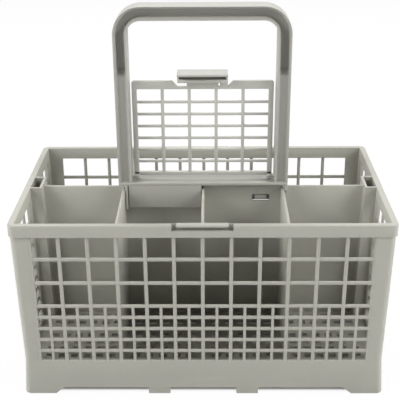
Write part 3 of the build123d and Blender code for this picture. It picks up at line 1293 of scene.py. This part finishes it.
@dataclass
class Lid:
    """Folding lid: a frame with rounded bars, hinge pins and a spring clip.

    The insets of a bar are how far it lies behind the frame's front and before its back.
    """

    finish: bpy.types.Material
    half: float = 46.2
    front: float = -0.4
    back: float = 2.2
    bottom: float = 128.6
    shoulder: float = 194.4
    side_frame: float = 3.25
    grid: Span = (131.2, 188.8)
    corner_radius: float = 1.8
    corner_steps: int = 6
    notch_floor: float = 190.6
    notch_half: float = 16.4
    notch_slope: float = 3.6
    columns: int = 5
    column_pitch: float = 17.57
    upright: float = 2.1
    upright_insets: Span = (0.05, 0.1)
    rows: int = 6
    row_pitch: float = 8.2667
    bar: float = 1.75
    bar_insets: Span = (0.35, 0.4)
    bar_round: float = 0.45
    sunk: float = 0.5
    hinge_height: float = 128.4
    hinge_round: float = 0.25
    hinge_steps: int = 2
    knuckle: float = 1.45
    toe: float = 126.9
    pin: float = 1.22
    pin_end: float = 49.8
    neck_half: float = 10.3
    neck_sunk: float = 0.6
    gusset: float = 5.2
    jaw: Span = (193.8, 196.1)
    jaw_front: float = -3.8
    mouth_back: float = 1.4
    cheek: float = 1.4
    clip_lap: float = 0.4
    pad: Span = (199.0, 201.4)
    pad_front: float = -8.1
    pad_fall: float = 1.1
    pad_crown: float = 0.275
    edge_round: float = 0.4
    edge_steps: int = 3
    cut_over: float = 2.0
    cut_reach: float = 10.0

    def panel(self) -> bpy.types.Object:
        """Makes the frame with its notched upper edge and one large window.

        Returns:
            The frame.
        """
        panel = Bench.block("lid_panel", both(self.half), (self.front, self.back), (self.bottom, self.shoulder))
        brow = self.shoulder - CLOSE
        with Bench.editing(panel):
            Bench.pick_edges(panel, lambda middle, along: abs(along.y) > ALONG and middle.z > brow)
            Bench.round_edges(self.corner_radius, self.corner_steps)
        rise = self.shoulder - self.notch_floor
        wide = self.notch_half + self.notch_slope * (1 + self.cut_over / rise)
        heights = (self.notch_floor, self.shoulder + self.cut_over)
        notch = Bench.block("notch", both(wide), both(self.cut_reach), heights)
        with Bench.editing(notch):
            Bench.pick_faces(notch, lambda middle, normal: normal.z < -ALONG)
            Bench.spread((wide, self.cut_reach), (self.notch_half, self.cut_reach))
        Bench.combine(panel, notch, "DIFFERENCE")
        window = Bench.block("lid_window", both(self.half - self.side_frame), both(self.cut_reach), self.grid)
        Bench.combine(panel, window, "DIFFERENCE")
        Bench.soften(panel, self.edge_round, self.edge_steps)
        return panel

    def bars(self) -> list[bpy.types.Object]:
        """Makes the lid's uprights and level bars.

        Returns:
            The bars.
        """
        low, high = self.grid
        first = -self.column_pitch * (self.columns - 2) / 2
        ahead, behind = self.upright_insets
        depth = (self.front + ahead, self.back - behind)
        heights = (low - self.sunk, high + self.sunk)
        upright = Bench.block("lid_upright", around(first, self.upright), depth, heights)
        Bench.soften(upright, self.bar_round, self.edge_steps)
        Bench.repeat(upright, self.columns - 1, (self.column_pitch, 0, 0))
        inner = self.half - self.side_frame + self.sunk
        height = low + self.row_pitch - self.bar
        ahead, behind = self.bar_insets
        depth = (self.front + ahead, self.back - behind)
        level = Bench.block("lid_bar", both(inner), depth, (height, height + self.bar))
        Bench.soften(level, self.bar_round, self.edge_steps)
        Bench.repeat(level, self.rows, (0, 0, self.row_pitch))
        return [upright, level]

    def hinge(self) -> list[bpy.types.Object]:
        """Makes the knuckles, pins and frame toes at the lower corners.

        Returns:
            The parts of the hinge.
        """
        made = []
        axis = (0, self.hinge_height)
        for side in (-1, 1):
            stile = span(side, self.half - self.side_frame, self.half)
            reach = span(side, self.half - self.sunk, self.pin_end)
            made += [
                Bench.rod("knuckle", stile, axis, self.knuckle),
                Bench.rod("pin", reach, axis, self.pin),
                Bench.block("toe", stile, (self.front, self.back), (self.toe, self.grid[0])),
            ]
        for part in made:
            Bench.soften(part, self.hinge_round, self.hinge_steps)
        return made

    def thumb_pad(self) -> bpy.types.Object:
        """Makes the clip's overhanging pad, whose top is crowned and falls to the front.

        Returns:
            The pad.
        """
        low, high = self.pad
        middle_depth, middle_height = (self.pad_front + self.back) / 2, (low + high) / 2
        front = self.pad_front + NEAR
        pad = Bench.block("pad", both(self.notch_half), (self.pad_front, self.back), self.pad)
        with Bench.editing(pad):
            Bench.pick_edges(pad, lambda middle, along: middle.z > high - NEAR and middle.y < front)
            Bench.move((0, 0, -self.pad_fall))
            Bench.pick_edges(pad, lambda middle, along: abs(along.x) < ACROSS and middle.z > high - CLOSE)
            bpy.ops.mesh.subdivide(number_cuts=1)
            Bench.pick_corners(pad, lambda spot: spot.z > middle_height and abs(spot.y - middle_depth) < CLOSE)
            Bench.move((0, 0, self.pad_crown))
        return pad

    def clip(self) -> list[bpy.types.Object]:
        """Makes the spring clip: pad, neck, gusset, jaw, mouth and cheeks.

        Returns:
            The parts of the clip.
        """
        half = self.notch_half
        thickness, jaw_depth = (self.front, self.back), (self.jaw_front, self.back)
        neck = (self.notch_floor - self.neck_sunk, self.jaw[0] + self.clip_lap)
        mouth = (self.jaw[1] - self.clip_lap, self.pad[0] + self.clip_lap)
        made = [
            self.thumb_pad(),
            Bench.block("neck", both(self.neck_half), thickness, neck),
            Bench.block("gusset", (half - self.gusset, half), thickness, neck),
            Bench.block("jaw", both(half), jaw_depth, self.jaw),
            Bench.block("mouth_wall", both(half), (self.back - self.mouth_back, self.back), mouth),
        ]
        made += [Bench.block("cheek", span(side, half, half - self.cheek), jaw_depth, mouth) for side in (-1, 1)]
        for part in made:
            Bench.soften(part, self.edge_round, self.edge_steps)
        return made

    def build(self) -> bpy.types.Object:
        """Makes the lid and dresses it.

        Returns:
            The finished piece.
        """
        lid = Bench.join([self.panel(), *self.bars(), *self.hinge(), *self.clip()], "lid_moulding")
        Bench.shade(lid)
        return dress(lid, self.finish, Body.LID, ("lid",))


@dataclass(frozen=True)
class SoftBox:
    """A rectangular studio lamp that points at the object. Its place and size are in metres."""

    name: str
    place: Point
    size: Span
    power: float

    @classmethod
    def pair(cls, name: str, place: Point, size: Span, power: float) -> "tuple[SoftBox, ...]":
        """Plans two equal lamps, left and right of the object.

        Args:
            name: Their name after the side.
            place: Place of the right one.
            size: Width and height of each.
            power: Power of each in watts.

        Returns:
            The left and the right lamp.
        """
        sides = {"left": -1, "right": 1}
        return tuple(cls(f"{side}_{name}", (way * place[0], *place[1:]), size, power) for side, way in sides.items())

    def build(self) -> bpy.types.Object:
        """Adds the lamp.

        Returns:
            The lamp's object.
        """
        lamp = bpy.data.lights.new(self.name, "AREA")
        lamp.shape = "RECTANGLE"
        lamp.size, lamp.size_y = self.size
        lamp.energy = self.power
        holder = bpy.data.objects.new(self.name, lamp)
        bpy.context.scene.collection.objects.link(holder)
        holder.location = self.place
        holder.rotation_mode = "QUATERNION"
        holder.rotation_quaternion = (Vector(AIM) - Vector(self.place)).to_track_quat("-Z", "Y")
        holder.visible_camera = False
        return holder


@dataclass
class Studio:
    """White floor and world, soft boxes and the camera at the photograph's angle."""

    floor_size: float = 6.0
    floor_paint: Colour = (0.8, 0.8, 0.8)
    floor_white: float = 0.94
    covered_half: Span = (114.0, 62.0)
    covered_edge: float = 4.0
    camera_place: Point = (5.155, -569.238, 359.932)
    yaw: float = -0.742
    pitch: float = 23.694
    roll: float = -0.413
    focal_px: float = 908.3
    frame_px: float = 400.0
    sensor: float = 36.0
    clip_range: Span = (0.05, 50.0)
    boxes: tuple[SoftBox, ...] = (
        SoftBox("back_box", (0.0, 0.9, 1.1), (1.4, 0.8), 17.8),
        *SoftBox.pair("box", (1.3, -0.15, 0.5), (0.7, 0.7), 10.2),
        *SoftBox.pair("high_box", (1.0, -0.5, 1.0), (0.6, 0.6), 9.7),
        *SoftBox.pair("front_box", (1.0, -0.95, 0.55), (0.6, 0.7), 2.8),
    )

    def floor(self) -> None:
        """Adds the floor, white to the camera except for the object's shadow and the ground it covers."""
        bpy.ops.object.select_all(action="DESELECT")
        bpy.ops.mesh.primitive_plane_add(size=self.floor_size)
        floor = bpy.context.active_object
        floor.name = "studio_floor"
        material = bpy.data.materials.new("studio_white")
        graph = Graph(material)
        place = graph.node("ShaderNodeTexCoord", output="Object")
        across, along = (graph.node("ShaderNodeSeparateXYZ", {}, {0: place}, axis) for axis in ("X", "Y"))
        outside = (abs(across) - self.covered_half[0] * MM).larger(abs(along) - self.covered_half[1] * MM)
        open_floor = graph.step(outside, 0.0, self.covered_edge)
        paint = graph.node("ShaderNodeBsdfDiffuse", {}, {"Color": (*self.floor_paint, 1.0)})
        glow = graph.node("ShaderNodeEmission", {}, {"Color": WHITE, "Strength": 1.0})
        share = graph.seen() * open_floor * self.floor_white
        surface = graph.node("ShaderNodeMixShader", {}, {0: share, 1: paint, 2: glow})
        graph.node("ShaderNodeOutputMaterial", {}, {"Surface": surface})
        floor.data.materials.append(material)

    def world(self) -> None:
        """Sets a background that looks white and gives the object no light."""
        world = bpy.data.worlds.new("studio_world")
        bpy.context.scene.world = world
        graph = Graph(world)
        light = graph.node("ShaderNodeBackground", {}, {"Color": WHITE, "Strength": graph.seen()})
        graph.node("ShaderNodeOutputWorld", {}, {"Surface": light})

    def camera(self) -> None:
        """Adds the camera where the photograph was taken from."""
        yaw, pitch, roll = (math.radians(angle) for angle in (self.yaw, self.pitch, self.roll))
        ahead = Vector((math.sin(yaw) * math.cos(pitch), math.cos(yaw) * math.cos(pitch), -math.sin(pitch)))
        level = Vector((math.cos(yaw), -math.sin(yaw), 0))
        upward = level.cross(ahead)
        right = math.cos(roll) * level + math.sin(roll) * upward
        above = -math.sin(roll) * level + math.cos(roll) * upward
        lens = bpy.data.cameras.new("photo_camera")
        lens.sensor_width = self.sensor
        lens.lens = self.focal_px / self.frame_px * self.sensor
        lens.clip_start, lens.clip_end = self.clip_range
        holder = bpy.data.objects.new("photo_camera", lens)
        bpy.context.scene.collection.objects.link(holder)
        turn = Matrix((right, above, -ahead)).transposed()
        holder.matrix_world = Matrix.Translation(Vector(self.camera_place) * MM) @ turn.to_4x4()
        bpy.context.scene.camera = holder

    def build(self) -> None:
        """Sets up the whole studio."""
        bpy.context.scene.view_settings.view_transform = "Standard"
        self.floor()
        self.world()
        for box in self.boxes:
            box.build()
        self.camera()


def dress(
    piece: bpy.types.Object,
    finish: bpy.types.Material,
    body: Body,
    nodes: Sequence[str] = (),
) -> bpy.types.Object:
    """Gives a piece its material, body and the nodes it stands for.

    Args:
        piece: The finished mesh.
        finish: Its material.
        body: The body it rides on.
        nodes: Solids that it replaces.

    Returns:
        The same piece.
    """
    piece.data.materials.clear()
    piece.data.materials.append(finish)
    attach(piece, body.value)
    if nodes:
        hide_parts(*nodes)
    log.info("%s: %d faces on %s", piece.name, len(piece.data.polygons), body.value)
    return piece


def main() -> None:
    """Builds the pieces and the studio."""
    logging.basicConfig(level=logging.INFO, format="%(name)s: %(message)s")
    basket_plastic = MouldedPlastic("basket_plastic").material()
    # Inner walls and catch lips get a lighter colour: painted light standing in for light passing through the thin
    # walls
    thin_plastic_painted_light = MouldedPlastic(
        "basket_plastic_thin_painted_light", pale=(0.44, 0.436, 0.386), deep=(0.385, 0.381, 0.336)
    ).material()
    handle_plastic = MouldedPlastic(
        "handle_plastic", pale=(0.372, 0.368, 0.335), deep=(0.324, 0.32, 0.291)
    ).material()
    # The lid's paler colour is partly its own moulding's tone and partly painted light for light through its thin
    # frame; above 195 mm the clip carries painted shade
    lid_plastic = MouldedPlastic(
        "lid_plastic", pale=(0.51, 0.505, 0.464), deep=(0.449, 0.445, 0.408), painted_shade_from=195.0
    ).material()
    shell = BasketShell(basket_plastic)
    shell.build()
    WallGrids(basket_plastic, shell).build()
    InnerWalls(thin_plastic_painted_light, shell).build()
    Handle(handle_plastic).build()
    Lid(lid_plastic).build()
    Studio().build()


if __name__ == "__main__":
    main()
